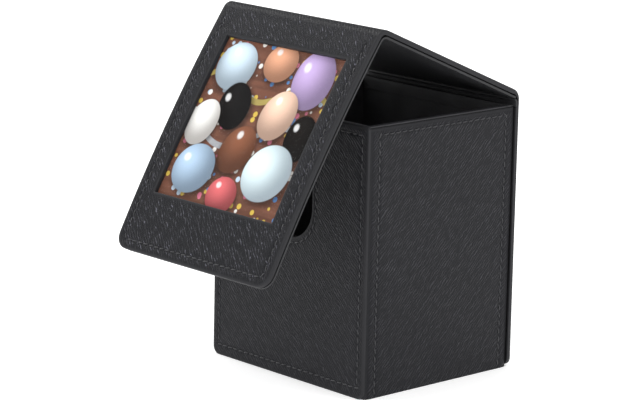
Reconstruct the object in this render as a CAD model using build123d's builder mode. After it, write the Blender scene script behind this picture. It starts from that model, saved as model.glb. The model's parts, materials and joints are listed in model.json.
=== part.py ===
from build123d import *
from math import asin, atan2, cos, degrees, radians, sin, sqrt
import os

os.makedirs("parts", exist_ok=True)

# A leather-covered box for square instant prints, standing on its base.
# Origin at the centre of the base, -Y is the front, +X the right side, +Z up.
# The cover runs from the back panel over a fold to the lid, and over a second
# fold, the ridge, to the front flap, which shows one print in a window.
# It is drawn part open, with the flap leaning out in front of the box.

# ---- driving dimensions, in millimetres and degrees ----

# box
box_width = 79.3
box_depth = 72.6
rim_height = 95.6
leather = 1.0             # outer leather of the box walls
board = 1.6               # greyboard of the box walls
lining = 0.5              # fabric-backed lining
floor_lining_clearance = 0.1
base_leather_thickness = 0.8
rim_binding_thickness = 0.6
binding_skirt_thickness = 0.4
binding_skirt_foot = 91.0  # the binding turns down inside the back wall to here
panel_gap = 0.2           # seam between neighbouring leather panels
front_corner_radius = 3.0
side_leather_top = 94.9
leather_edge_round = 0.85
panel_edge_round = 0.4

# thumb notch in the front wall
notch_radius = 12.0
notch_centre_height = 62.7
notch_flange = 0.5        # leather turned through the notch

# cover
cover_width = 80.0
cover_leather = 0.8
cover_lining = 0.8
back_cover_board_thickness = 0.8
back_cover_foot = 0.2
lid_thickness = 3.0
flap_thickness = 2.8
board_edge_inset = 1.2
ridge_relief = 0.6        # bare leather between the ridge fold and the boards
back_relief = 0.4         # the same between the back fold and the lid's board
lid_lining_inset = 2.3    # hinge line to the end of the lid's lining
lid_angle = 23.15         # the lid's slope above level
flap_lean = 31.5          # the flap's lean out of plumb
back_fold_radius = 4.4
ridge_fold_radius = 4.0
ridge_lining_radius = 2.0

# hinge line of the lid, and where the lid lies from it
hinge_inset = 0.2
hinge_height = 96.5
lid_rise = 3.7            # lid's outer face above the hinge line
lid_reach = 75.0          # hinge line to the ridge corner

# flap and its window
flap_length = 97.0
flap_bow = 1.8            # the flap swells out by this at its middle
flap_corner_radius = 5.5
window_width = 62.0
window_height = 61.6
window_top = 13.5         # ridge corner to the window
frame_board = 0.7
film_thickness = 0.15
film_border = 2.0
film_clearance = 0.05

# the print in the pocket: a square instant print
print_width = 72.0
print_height = 86.0
print_thickness = 0.25
print_top = 7.3           # ridge corner to the print
pocket_clearance = 0.3

# magnetic catch
magnet_radius = 4.5
magnet_spread = 24.0
magnet_distance = 85.2    # ridge corner to the magnets
keeper_radius = 5.0
keeper_thickness = 0.8
keeper_height = 13.1
magnet_clearance = 0.1

# stitching
stitch_length = 2.0
stitch_width = 0.45
stitch_height = 0.22
stitch_pitch = 2.9
stitch_lift = 0.01
front_stitch_inset = 3.0
front_bottom_stitch = 3.9
notch_stitch_inset = 1.9
side_stitch_inset = 4.3
side_top_stitch_inset = 2.4
cover_stitch_inset = 3.5

# ---- derived positions ----

half_width = box_width / 2
front = -box_depth / 2
back = box_depth / 2
board_top = rim_height - rim_binding_thickness
wall_x = half_width - leather                 # outer face of the side boards
core_x = wall_x - board                       # inner face of the side boards
cavity_x = core_x - lining
front_board_y = front + leather
front_lining_y = front_board_y + board
cavity_front = front_lining_y + lining
cover_back_y = back - cover_leather - back_cover_board_thickness
back_lining_y = cover_back_y - board
cavity_back = back_lining_y - lining
bottom_board_top = base_leather_thickness + board

slope = radians(lid_angle)
lean = radians(flap_lean)
lid_outward = Vector(0, sin(slope), cos(slope))
lid_backward = Vector(0, cos(slope), -sin(slope))
flap_outward = Vector(0, -cos(lean), sin(lean))
flap_upward = Vector(0, sin(lean), cos(lean))
hinge = Vector(0, back - hinge_inset, hinge_height)
ridge = hinge - lid_backward * lid_reach + lid_outward * lid_rise

lid_plane = Plane(origin=ridge, x_dir=(1, 0, 0), z_dir=lid_outward)
flap_plane = Plane(origin=ridge, x_dir=(1, 0, 0), z_dir=flap_outward)
flap_section = Plane(origin=ridge, x_dir=flap_upward, z_dir=(1, 0, 0))

# the bow: every layer of the flap is an arc about one centre
bow_radius = ((flap_length / 2) ** 2 + flap_bow ** 2) / (2 * flap_bow)
bow_centre = ridge - flap_upward * (flap_length / 2) + flap_outward * (flap_bow - bow_radius)

# centre of the back fold: back face and lid face both touch its circle
back_fold_y = back - back_fold_radius
back_fold_z = ridge.Z - (back_fold_radius + sin(slope) * (back_fold_y - ridge.Y)) / cos(slope)
back_fold = Vector(0, back_fold_y, back_fold_z)
lid_leather_end = (back_fold - ridge).dot(lid_backward)


def corner_centre(lid_depth, flap_depth, radius):
    """Centre of a circle that touches the lid and the flap, each at a depth below its outer face."""
    foot = ridge - lid_outward * (lid_depth + radius)
    along = (bow_centre - foot).dot(lid_backward)
    height = (bow_centre - foot).dot(lid_outward)
    reach = bow_radius - flap_depth - radius
    return foot + lid_backward * (along - sqrt(reach ** 2 - height ** 2))


def heading(vector):
    """Angle of a vector in the YZ plane, in degrees from +Y towards +Z."""
    return degrees(atan2(vector.Z, vector.Y))


def bow_distance(point):
    """Distance down the flap from the ridge corner to the radius of the bow through a point."""
    reach = point - bow_centre
    return flap_length / 2 - bow_radius * reach.dot(flap_upward) / reach.length


# the outer ridge fold wraps the convex corner; the flap's arc starts at its end
outer_corner = corner_centre(0, 0, ridge_fold_radius)
lid_leather_start = (outer_corner - ridge).dot(lid_backward)
flap_leather_start = bow_distance(outer_corner)

# the ridge's lining lies in the hollow corner under both panels
inner_corner = corner_centre(lid_thickness, flap_thickness, ridge_lining_radius)
lid_lining_start = (inner_corner - ridge).dot(lid_backward)
flap_lining_start = bow_distance(inner_corner)


def save(part, name):
    """Name a finished piece and write it to its own file."""
    part.label = name
    export_step(part, f"parts/{name}.step")


# ---- box walls ----


def notch_outline(radius):
    """Cut a notch of this radius, open at the rim, from the front wall sketch in progress."""
    with Locations((0, notch_centre_height)):
        Circle(radius, mode=Mode.SUBTRACT)
    with Locations((0, (notch_centre_height + rim_height) / 2)):
        Rectangle(2 * radius, rim_height - notch_centre_height + 1, mode=Mode.SUBTRACT)


def front_layer(outer_y, thickness, reach_x, low, high, notch):
    """One flat layer of the front wall, with its notch."""
    with BuildPart() as layer:
        with BuildSketch(Plane.XZ.offset(-outer_y)):
            with Locations((0, (low + high) / 2)):
                Rectangle(2 * reach_x, high - low)
            notch_outline(notch)
        extrude(amount=-thickness)
    return layer


with BuildPart() as front_leather:
    with BuildSketch(Plane.XZ.offset(-front)) as front_outline:
        with Locations((0, rim_height / 2)):
            Rectangle(box_width, rim_height)
        fillet(front_outline.vertices().group_by(Axis.Z)[0], radius=front_corner_radius)
        fillet(front_outline.vertices().group_by(Axis.Z)[-1], radius=leather)
        notch_outline(notch_radius)
    extrude(amount=-leather)
    fillet(front_leather.faces().sort_by(Axis.Y)[0].edges(), radius=panel_edge_round)
    # the leather turned through the notch covers the raw edge of the board
    with BuildSketch(Plane.XZ.offset(-front_board_y)) as flange:
        with Locations((0, notch_centre_height)):
            Circle(notch_radius + notch_flange)
        with Locations((0, (notch_centre_height + board_top) / 2)):
            Rectangle(2 * (notch_radius + notch_flange), board_top - notch_centre_height)
        notch_outline(notch_radius)
    extrude(amount=-(board + lining))
save(front_leather.part, "front_leather")

front_board = front_layer(front_board_y, board, core_x, base_leather_thickness, board_top,
                          notch_radius + notch_flange)
with BuildPart() as front_board_cut:
    add(front_board.part)
    for side in (-1, 1):
        with BuildSketch(Plane.XZ.offset(-front_board_y)):
            with Locations((side * magnet_spread, keeper_height)):
                Circle(keeper_radius + magnet_clearance)
        extrude(amount=-keeper_thickness, mode=Mode.SUBTRACT)
save(front_board_cut.part, "front_board")

front_lining = front_layer(front_lining_y, lining, cavity_x, bottom_board_top, board_top,
                           notch_radius + notch_flange)
save(front_lining.part, "front_lining")

for side, name in ((1, "right"), (-1, "left")):
    with BuildPart() as side_leather:
        with BuildSketch(Plane.YZ.offset(side * half_width)):
            with Locations(((front_board_y + cover_back_y) / 2, side_leather_top / 2)):
                Rectangle(cover_back_y - front_board_y - 2 * panel_gap, side_leather_top)
        extrude(amount=-side * leather)
        outer_face = side_leather.faces().sort_by(Axis.X)[-1 if side > 0 else 0]
        fillet(outer_face.edges().sort_by(Axis.Z)[1:], radius=leather_edge_round)
    save(side_leather.part, f"{name}_leather")

    with BuildPart() as side_board:
        with BuildSketch(Plane.YZ.offset(side * wall_x)):
            with Locations(((front_board_y + cover_back_y) / 2, (base_leather_thickness + board_top) / 2)):
                Rectangle(cover_back_y - front_board_y, board_top - base_leather_thickness)
        extrude(amount=-side * board)
    save(side_board.part, f"{name}_board")

    with BuildPart() as side_lining:
        with BuildSketch(Plane.YZ.offset(side * core_x)):
            with Locations(((front_lining_y + back_lining_y) / 2, (bottom_board_top + board_top) / 2)):
                Rectangle(back_lining_y - front_lining_y, board_top - bottom_board_top)
        extrude(amount=-side * lining)
    save(side_lining.part, f"{name}_lining")

with BuildPart() as back_board:
    with BuildSketch(Plane.XZ.offset(-cover_back_y)):
        with Locations((0, (base_leather_thickness + board_top) / 2)):
            Rectangle(2 * core_x, board_top - base_leather_thickness)
    extrude(amount=board)
save(back_board.part, "back_board")

with BuildPart() as back_lining:
    with BuildSketch(Plane.XZ.offset(-back_lining_y)):
        with Locations((0, (bottom_board_top + board_top) / 2)):
            Rectangle(2 * cavity_x, board_top - bottom_board_top)
    extrude(amount=lining)
save(back_lining.part, "back_lining")

with BuildPart() as base_leather:
    with BuildSketch(Plane.XY):
        with Locations((0, (front_board_y + cover_back_y) / 2)):
            Rectangle(2 * wall_x, cover_back_y - front_board_y)
    extrude(amount=base_leather_thickness)
save(base_leather.part, "base_leather")

with BuildPart() as bottom_board:
    with BuildSketch(Plane.XY.offset(base_leather_thickness)):
        with Locations((0, (front_lining_y + back_lining_y) / 2)):
            Rectangle(2 * core_x, back_lining_y - front_lining_y)
    extrude(amount=board)
save(bottom_board.part, "bottom_board")

# the floor's lining lies between those of the walls
with BuildPart() as bottom_lining:
    with BuildSketch(Plane.XY.offset(bottom_board_top)):
        with Locations((0, (cavity_front + cavity_back) / 2)):
            Rectangle(2 * (cavity_x - floor_lining_clearance),
                      cavity_back - cavity_front - 2 * floor_lining_clearance)
    extrude(amount=lining)
save(bottom_lining.part, "bottom_lining")

# binding that caps the boards and linings all round the rim, broken at the notch
with BuildPart() as rim_binding:
    with BuildSketch(Plane.XY.offset(board_top)):
        with Locations((0, (front_board_y + cover_back_y) / 2)):
            Rectangle(2 * wall_x, cover_back_y - front_board_y)
        with Locations((0, (cavity_front + cavity_back) / 2)):
            Rectangle(2 * cavity_x, cavity_back - cavity_front, mode=Mode.SUBTRACT)
        with Locations((0, front)):
            Rectangle(2 * notch_radius, 4 * (cavity_front - front), mode=Mode.SUBTRACT)
    extrude(amount=rim_binding_thickness)
    # at the back it turns down over the wall's lining
    with BuildSketch(Plane.XY.offset(binding_skirt_foot)):
        with Locations((0, cavity_back - binding_skirt_thickness / 2)):
            Rectangle(2 * (cavity_x - floor_lining_clearance), binding_skirt_thickness)
    extrude(amount=rim_height - binding_skirt_foot)
save(rim_binding.part, "rim_binding")

# ---- back panel of the cover ----

with BuildPart() as back_cover_board:
    with BuildSketch(Plane.XZ.offset(-cover_back_y)):
        with Locations((0, (base_leather_thickness + board_top) / 2)):
            Rectangle(cover_width - 2 * board_edge_inset, board_top - base_leather_thickness)
    extrude(amount=-back_cover_board_thickness)
save(back_cover_board.part, "back_cover_board")

with BuildPart() as back_cover_leather:
    with BuildSketch(Plane.XZ.offset(-back)) as back_outline:
        with Locations((0, (back_cover_foot + back_fold_z) / 2)):
            Rectangle(cover_width, back_fold_z - back_cover_foot)
        fillet(back_outline.vertices().group_by(Axis.Z)[0], radius=front_corner_radius)
    extrude(amount=cover_leather)
    outer_edges = back_cover_leather.faces().sort_by(Axis.Y)[-1].edges().sort_by(Axis.Z)[:-1]
    fillet(outer_edges, radius=panel_edge_round)
save(back_cover_leather.part, "back_cover_leather")

# ---- folds of the cover: arcs of leather that bend as the cover moves ----


def fold(centre, inner_radius, thickness, from_vector, to_vector):
    """A strip of leather bent about a line through the centre, across the whole cover."""
    start, finish = heading(from_vector), heading(to_vector)
    with BuildPart() as strip:
        with BuildSketch(Plane.YZ):
            with BuildLine():
                inside = CenterArc((centre.Y, centre.Z), inner_radius, start, finish - start)
                outside = CenterArc((centre.Y, centre.Z), inner_radius + thickness, start, finish - start)
                Line(inside @ 0, outside @ 0)
                Line(inside @ 1, outside @ 1)
            make_face()
        extrude(amount=cover_width / 2, both=True)
    return strip.part


save(fold(back_fold, back_fold_radius - cover_leather, cover_leather, Vector(0, 1, 0), lid_outward),
     "back_fold_leather")
save(fold(outer_corner, ridge_fold_radius - cover_leather, cover_leather, lid_outward,
          outer_corner - bow_centre), "ridge_fold_leather")

# ---- lid ----


def lid_layer(outer_depth, thickness, reach_x, start, finish):
    """One flat layer of the lid, between two distances from the ridge corner."""
    with BuildPart() as layer:
        with BuildSketch(lid_plane.offset(-outer_depth)):
            with Locations((0, (start + finish) / 2)):
                Rectangle(2 * reach_x, finish - start)
        extrude(amount=-thickness)
    return layer


lid_board_start = lid_leather_start + ridge_relief
lid_board_end = lid_leather_end - back_relief
lid_lining_end = lid_reach - lid_lining_inset
lid_board_thickness = lid_thickness - cover_leather - cover_lining

lid_leather = lid_layer(0, cover_leather, cover_width / 2, lid_leather_start, lid_leather_end)
save(lid_leather.part, "lid_leather")
lid_board = lid_layer(cover_leather, lid_board_thickness, cover_width / 2 - board_edge_inset,
                      lid_board_start, lid_board_end)
save(lid_board.part, "lid_board")
lid_lining = lid_layer(lid_thickness - cover_lining, cover_lining, cover_width / 2,
                       lid_lining_start, lid_lining_end)
save(lid_lining.part, "lid_lining")

# lining of the back fold: it leaves the lid's lining, turns down beside the back
# panel's leather and ends on the board of that panel
lining_middle = hinge - lid_backward * lid_lining_inset + lid_outward * (cover_lining / 2)
turn_radius = (cover_back_y + cover_lining / 2 - lining_middle.Y) / (1 - sin(slope))
turn_centre = lining_middle - lid_outward * turn_radius
turn_reach = turn_radius - cover_lining / 2
lid_heading = heading(lid_outward)
with BuildPart() as back_fold_lining:
    with BuildSketch(Plane.YZ):
        with BuildLine():
            inside = CenterArc((turn_centre.Y, turn_centre.Z), turn_reach, 0, lid_heading)
            outside = CenterArc((turn_centre.Y, turn_centre.Z), turn_reach + cover_lining, 0, lid_heading)
            Line(inside @ 1, outside @ 1)
            ends = [(depth, board_top) for depth in (cover_back_y, cover_back_y + cover_lining)]
            Polyline(inside @ 0, *ends, outside @ 0)
        make_face()
    extrude(amount=cover_width / 2, both=True)
save(back_fold_lining.part, "back_fold_lining")

# ---- flap: every layer follows the bow ----


def bow_angle(distance):
    """Angle about the bow's centre at a distance down the flap from the ridge corner."""
    return asin((flap_length / 2 - distance) / bow_radius)


def bow_point(angle, depth):
    """Point of the bow in the flap's section, at a depth below its outer face."""
    radius = bow_radius - depth
    return (radius * sin(angle) - flap_length / 2, radius * cos(angle) + flap_bow - bow_radius)


def flap_layer(outer_depth, inner_depth, reach_x, start, finish, corner):
    """One bowed layer of the flap between two distances from the ridge corner, its foot rounded."""
    top, foot = bow_angle(start), bow_angle(finish)
    middle = (top + foot) / 2
    with BuildPart() as layer:
        with BuildSketch(flap_section):
            with BuildLine():
                outer = ThreePointArc(*(bow_point(angle, outer_depth) for angle in (top, middle, foot)))
                inner = ThreePointArc(*(bow_point(angle, inner_depth) for angle in (top, middle, foot)))
                Line(outer @ 0, inner @ 0)
                Line(outer @ 1, inner @ 1)
            make_face()
        extrude(amount=reach_x, both=True)
        if corner:
            with BuildSketch(flap_plane):
                with Locations((0, corner - finish / 2)):
                    RectangleRounded(2 * reach_x, finish + 2 * corner, corner)
            extrude(amount=2 * flap_thickness, both=True, mode=Mode.INTERSECT)
    return layer


# depths of the layers below the flap's outer face
frame_depth = cover_leather
film_depth = frame_depth + frame_board
print_depth = film_depth + film_thickness + film_clearance
flap_lining_depth = flap_thickness - cover_lining
flap_core_reach = cover_width / 2 - board_edge_inset
flap_core_finish = flap_length - board_edge_inset
flap_core_start = flap_leather_start + ridge_relief
window_centre = -window_top - window_height / 2

with BuildPart() as flap_leather:
    add(flap_layer(0, cover_leather, cover_width / 2, flap_leather_start, flap_length,
                   flap_corner_radius).part)
    with BuildSketch(flap_plane):
        with Locations((0, window_centre)):
            Rectangle(window_width, window_height)
    extrude(amount=2 * flap_thickness, both=True, mode=Mode.SUBTRACT)
save(flap_leather.part, "flap_leather")

with BuildPart() as flap_frame_board:
    add(flap_layer(frame_depth, film_depth, flap_core_reach, flap_core_start, flap_core_finish,
                   flap_corner_radius).part)
    with BuildSketch(flap_plane):
        with Locations((0, window_centre)):
            Rectangle(window_width, window_height)
        with Locations((-magnet_spread, -magnet_distance), (magnet_spread, -magnet_distance)):
            Circle(magnet_radius + magnet_clearance)
    extrude(amount=2 * flap_thickness, both=True, mode=Mode.SUBTRACT)
save(flap_frame_board.part, "flap_frame_board")

with BuildPart() as flap_magnets:
    add(flap_layer(frame_depth, film_depth, flap_core_reach, flap_core_start, flap_core_finish, 0).part)
    with BuildSketch(flap_plane):
        with Locations((-magnet_spread, -magnet_distance), (magnet_spread, -magnet_distance)):
            Circle(magnet_radius)
    extrude(amount=2 * flap_thickness, both=True, mode=Mode.INTERSECT)
save(flap_magnets.part, "flap_magnets")

window_film = flap_layer(film_depth, film_depth + film_thickness, window_width / 2 + film_border,
                         window_top - film_border, window_top + window_height + film_border, 0)
save(window_film.part, "window_film")

# the print lies in a pocket that is open along the flap's right edge
photo_print = flap_layer(print_depth, print_depth + print_thickness, print_width / 2,
                         print_top, print_top + print_height, 0)
save(photo_print.part, "photo_print")

with BuildPart() as pocket_spacer:
    add(flap_layer(film_depth, flap_lining_depth, flap_core_reach, flap_core_start, flap_core_finish,
                   flap_corner_radius).part)
    pocket_left = -print_width / 2 - pocket_clearance
    pocket_high = -print_top + pocket_clearance
    pocket_low = -print_top - print_height - pocket_clearance
    with BuildSketch(flap_plane):
        with Locations((pocket_left / 2 + cover_width / 2, (pocket_high + pocket_low) / 2)):
            Rectangle(cover_width - pocket_left, pocket_high - pocket_low)
    extrude(amount=2 * flap_thickness, both=True, mode=Mode.SUBTRACT)
save(pocket_spacer.part, "pocket_spacer")

flap_lining = flap_layer(flap_lining_depth, flap_thickness, cover_width / 2, flap_lining_start,
                         flap_length, flap_corner_radius)
save(flap_lining.part, "flap_lining")

# lining of the ridge, a hollow fold between the linings of lid and flap
save(fold(inner_corner, ridge_lining_radius, cover_lining, lid_outward, inner_corner - bow_centre),
     "ridge_fold_lining")

# steel keepers in the front wall, where the magnets land when the flap is closed
with BuildPart() as keeper_plates:
    with BuildSketch(Plane.XZ.offset(-front_board_y)):
        with Locations((-magnet_spread, keeper_height), (magnet_spread, keeper_height)):
            Circle(keeper_radius)
    extrude(amount=-keeper_thickness)
save(keeper_plates.part, "keeper_plates")

# ---- stitching: rows of short flat threads on the leather ----


def flat(surface):
    """Planes that touch a flat panel, for threads laid on it."""
    return lambda point: Plane(surface.from_local_coords(point), surface.x_dir, surface.z_dir)


def on_bow(point):
    """The plane that touches the flap's bowed face at a point given in the flap plane."""
    angle = bow_angle(-point.Y)
    outward = flap_upward * sin(angle) + flap_outward * cos(angle)
    return Plane(bow_centre + outward * bow_radius + Vector(point.X, 0, 0), (1, 0, 0), outward)


def stitch(name, paths, touching_plane):
    """Lay short threads along paths drawn in a panel's own plane, and save them as one row."""
    threads = []
    for path in paths:
        count = round(path.length / stitch_pitch)
        for index in range(count):
            place = (index + 0.5) / count
            heading_there = path % place
            touching = touching_plane(path @ place).offset(stitch_lift)
            along = touching.x_dir * heading_there.X + touching.y_dir * heading_there.Y
            threads.append(Plane(touching.origin, along, touching.z_dir))
    with BuildPart() as seam:
        with BuildSketch(*threads):
            Rectangle(stitch_length, stitch_width)
        extrude(amount=stitch_height)
    save(seam.part, name)


front_side = half_width - front_stitch_inset
front_top = rim_height - front_stitch_inset
notch_side = notch_radius + notch_stitch_inset
front_rows = [
    FilletPolyline(
        (side * notch_side, front_top),
        (side * front_side, front_top),
        (side * front_side, front_bottom_stitch),
        (0, front_bottom_stitch),
        radius=panel_edge_round,
    )
    for side in (-1, 1)
]
notch_row = FilletPolyline(
    (-notch_side, front_top - stitch_pitch),
    (-notch_side, notch_centre_height - notch_side),
    (notch_side, notch_centre_height - notch_side),
    (notch_side, front_top - stitch_pitch),
    radius=notch_side - panel_edge_round,
)
stitch("front_stitching", front_rows + [notch_row], flat(Plane.XZ.offset(-front)))

side_low = base_leather_thickness
side_top = side_leather_top - side_top_stitch_inset
side_front = front_board_y + panel_gap + side_stitch_inset
side_back = cover_back_y - panel_gap - side_stitch_inset
for side, name in ((1, "right"), (-1, "left")):
    row = FilletPolyline(
        (side * side_front, side_low),
        (side * side_front, side_top),
        (side * side_back, side_top),
        (side * side_back, side_low),
        radius=panel_edge_round,
    )
    face = Plane(origin=(side * half_width, 0, 0), x_dir=(0, side, 0), z_dir=(side, 0, 0))
    stitch(f"{name}_stitching", [row], flat(face))

cover_side = cover_width / 2 - cover_stitch_inset
back_low = back_cover_foot + cover_stitch_inset
back_row = FilletPolyline(
    (-cover_side, board_top - cover_stitch_inset),
    (-cover_side, back_low),
    (cover_side, back_low),
    (cover_side, board_top - cover_stitch_inset),
    radius=panel_edge_round,
)
back_face = Plane(origin=(0, back, 0), x_dir=(-1, 0, 0), z_dir=(0, 1, 0))
stitch("back_stitching", [back_row], flat(back_face))

lid_rows = [
    Polyline(
        (side * cover_side, lid_leather_start + cover_stitch_inset),
        (side * cover_side, lid_leather_end - cover_stitch_inset),
    )
    for side in (-1, 1)
]
stitch("lid_stitching", lid_rows, flat(lid_plane))

flap_row = FilletPolyline(
    (-cover_side, -flap_leather_start - cover_stitch_inset),
    (-cover_side, cover_stitch_inset - flap_length),
    (cover_side, cover_stitch_inset - flap_length),
    (cover_side, -flap_leather_start - cover_stitch_inset),
    radius=flap_corner_radius - cover_stitch_inset,
)
stitch("flap_stitching", [flap_row], on_bow)

print("hinge line", hinge, "flap hinge line", outer_corner, "ridge corner", ridge)
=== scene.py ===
import json
from math import asin, cos, exp, hypot, pi, radians, sin, sqrt

import bmesh
import bpy
from bpy.props import FloatProperty, FloatVectorProperty, PointerProperty
from mathutils import Matrix, Vector, noise
from mathutils.kdtree import KDTree


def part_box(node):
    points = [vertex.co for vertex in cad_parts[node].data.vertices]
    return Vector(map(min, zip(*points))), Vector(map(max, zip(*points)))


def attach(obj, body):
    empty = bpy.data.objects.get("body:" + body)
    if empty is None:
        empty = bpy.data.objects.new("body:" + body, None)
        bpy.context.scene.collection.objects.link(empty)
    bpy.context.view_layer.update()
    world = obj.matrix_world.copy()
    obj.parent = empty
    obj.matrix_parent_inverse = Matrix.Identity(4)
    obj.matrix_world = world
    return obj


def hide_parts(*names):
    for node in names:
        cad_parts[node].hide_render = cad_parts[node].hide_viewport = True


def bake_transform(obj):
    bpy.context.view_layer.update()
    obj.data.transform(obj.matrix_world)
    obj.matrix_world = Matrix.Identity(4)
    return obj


bl_info = {
    "name": "Photo Storage Box",
    "version": (1, 0, 0),
    "blender": (4, 5, 0),
    "location": "View3D > Sidebar > Photo Box",
    "description": "Dresses an upright print box in embossed leather, with its folding lid and window flap",
    "category": "Object",
}

MM = 0.001
MERGE = 0.002 * MM          # points of a frame node closer than this are one point
STRAIGHT = 0.05             # a thread that leans less than this, as a share of its length, lies along a row
ROW_GAP = 0.02 * MM         # rows of a panel's mesh closer than this are one row
SEAM_GAP = 0.5 * MM         # threads of one seam lie closer together than this, across it
CALM_REACH = 4 * MM         # the slow waves die away over this distance from an edge
# The same distance sets how far the edges' painted highlight reaches.
WEAR_AND_HIGHLIGHT_REACH = 1.1 * MM       # the hatch is worn smooth over this distance from an edge
WALL_REACH = 0.2 * MM       # points this close to an opening belong to its wall
FOLD_ROWS = 14              # rows of the mesh round a fold
HARD_EDGE = radians(30)     # edges that turn more than this are rounded
FLAT_EDGE = radians(1)      # edges that turn less than this are merged away
THREAD_FULLNESS = 0.55      # 1 gives a thread that tapers evenly to its ends, less a fuller one
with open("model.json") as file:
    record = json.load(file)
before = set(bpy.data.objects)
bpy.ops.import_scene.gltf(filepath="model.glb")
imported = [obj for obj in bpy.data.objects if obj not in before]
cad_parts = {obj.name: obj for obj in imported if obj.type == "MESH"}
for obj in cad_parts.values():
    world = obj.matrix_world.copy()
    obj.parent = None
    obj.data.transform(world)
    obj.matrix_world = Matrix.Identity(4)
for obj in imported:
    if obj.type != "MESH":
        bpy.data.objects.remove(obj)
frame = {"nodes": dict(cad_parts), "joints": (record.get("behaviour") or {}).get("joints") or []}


# ---------------------------------------------------------------- settings


def length(name, description, millimetres):
    """A length the user can change, given here in millimetres."""
    return FloatProperty(name=name, description=description, default=millimetres * MM, min=0.0,
                         precision=5, unit="LENGTH")


def colour(name, description, default):
    """A colour the user can change, in linear light."""
    return FloatVectorProperty(name=name, description=description, default=default, size=3,
                               min=0.0, max=1.0, subtype="COLOR")


def share(name, description, default, most=1.0):
    """A plain number the user can change."""
    return FloatProperty(name=name, description=description, default=default, min=0.0, max=most)


def turn(name, description, degrees):
    """An angle the user can change, given here in degrees."""
    return FloatProperty(name=name, description=description, default=radians(degrees), unit="ROTATION")


class LeatherSettings(bpy.types.PropertyGroup):
    tint: colour("Tint", "Colour of the embossed leather", (0.0064, 0.0066, 0.0090))
    # Lighter than the tint: partly worn crests, partly painted light on the crests with painted shade in the
    # furrows; six times this colour makes the painted glint specks.
    crest: colour("Crest", "Colour on the crests of the hatch, where it is rubbed", (0.025, 0.025, 0.031))
    # Lighter than the tint: the smoother turned leather, and partly a painted highlight where rounded edges
    # and folds catch the light; the turned leather pieces take it as their colour.
    edge: colour("Edge", "Colour of the smooth turned edges", (0.024, 0.024, 0.027))
    pitch: length("Hatch pitch", "Distance between the long lines of the hatch", 1.0)
    cross_pitch: length("Cross pitch", "Distance between the short lines across them", 0.86)
    relief: length("Relief", "Depth of the hatch", 0.17)
    cell: length("Cell", "Distance between rows of the mesh on a panel", 0.97)
    furrow_width: length("Furrow width", "Half width of the furrow that a row of stitches pulls in", 0.6)
    furrow_depth: length("Furrow depth", "Depth of that furrow", 0.26)
    ripple: length("Ripple", "Height of the slow waves in the leather", 0.05)
    ripple_size: length("Ripple size", "Size of the slow waves", 14.0)
    side_roll: length("Side roll", "Width of the padded roll round the side panels", 2.6)
    side_roll_depth: length("Side roll depth", "How far that roll falls at the edge", 0.92)
    turned_roll: length("Turned roll", "Width of the roll on a turned edge", 0.38)
    turned_roll_depth: length("Turned roll depth", "How far a turned edge falls", 0.24)
    hem: length("Hem", "Width of the leather turned under at a free edge", 1.0)


class ThreadSettings(bpy.types.PropertyGroup):
    # Lighter than black thread: partly a painted highlight standing for the glints on the stitches.
    tint: colour("Tint", "Colour of the sewing thread", (0.070, 0.070, 0.076))
    length: length("Length", "Length of a stitch from hole to hole", 2.35)
    width: length("Width", "Thickness of the thread", 0.52)
    lift: length("Lift", "Height of the thread's middle above the panel's face", 0.02)
    sink: length("Sink", "How far its ends go down into the leather", 0.3)
    slant: turn("Slant", "How far each stitch is turned from the row", 7.0)


class CoverSettings(bpy.types.PropertyGroup):
    lid_angle: turn("Lid angle", "Slope of the lid above level", 23.15)
    flap_lean: turn("Flap lean", "Lean of the flap out of plumb", 31.5)
    lid_reach: length("Lid reach", "Hinge line to the ridge corner", 75.0)
    lid_rise: length("Lid rise", "Lid's outer face above the hinge line", 3.7)
    leather: length("Leather", "Thickness of the cover's leather, outside and inside", 0.8)
    lid_thickness: length("Lid thickness", "Thickness of the whole lid", 3.0)
    flap_thickness: length("Flap thickness", "Thickness of the whole flap", 2.8)
    flap_length: length("Flap length", "Ridge corner to the flap's foot", 97.0)
    flap_bow: length("Flap bow", "How far the flap swells out at its middle", 1.8)
    flap_corner: length("Flap corner", "Radius of the flap's lower corners", 5.5)
    back_fold: length("Back fold", "Outer radius of the fold at the back", 4.4)
    ridge_fold: length("Ridge fold", "Outer radius of the fold at the ridge", 4.0)
    ridge_lining: length("Ridge lining", "Inner radius of the ridge's lining", 2.0)
    lining_inset: length("Lining inset", "Hinge line to the end of the lid's lining", 2.3)
    window_width: length("Window width", "Width of the window", 62.0)
    window_height: length("Window height", "Height of the window", 61.6)
    window_top: length("Window top", "Ridge corner to the window", 13.5)
    window_lip: length("Window lip", "Leather turned in round the window", 0.15)
    film_depth: length("Film depth", "Outer face to the clear film", 1.5)
    lid_hem: length("Lid hem", "Thickness of the lid's outer leather where its edge is turned", 1.7)
    flap_hem: length("Flap hem", "The same on the flap", 1.5)
    back_hem: length("Back hem", "The same on the back panel", 1.6)
    # This also lifts the folds' colour a little towards the edge colour, a painted highlight on the folds.
    fold_rub_and_highlight: share("Fold rub", "How far the hatch is stretched smooth on the folds", 0.35)


class WallSettings(bpy.types.PropertyGroup):
    leather: length("Leather", "Thickness of the walls' leather", 1.0)
    corner: length("Corner", "Radius of the lower corners of the front and back", 3.0)
    top_corner: length("Top corner", "Radius of the front's upper corners", 1.0)
    notch_radius: length("Notch radius", "Radius of the thumb notch", 12.0)
    notch_height: length("Notch height", "Height of the notch's centre", 62.7)
    notch_reach: length("Notch reach", "How far round the notch the panel's rows bend with it", 9.0)
    binding_round: length("Binding round", "Rounding of the rim's binding", 0.22)


class PrintSettings(bpy.types.PropertyGroup):
    paper: colour("Paper", "Border of the print", (0.82, 0.82, 0.80))
    ground: colour("Ground", "Table under the balloons", (0.20, 0.085, 0.055))
    width: length("Width", "Width of the print's card", 72.0)
    height: length("Height", "Height of the print's card", 86.0)
    top: length("Top", "Ridge corner to the card", 7.3)
    depth: length("Depth", "Flap's outer face to the card", 1.7)
    thickness: length("Thickness", "Thickness of the card", 0.25)
    image: length("Image", "Side of the square picture on it", 62.6)


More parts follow.
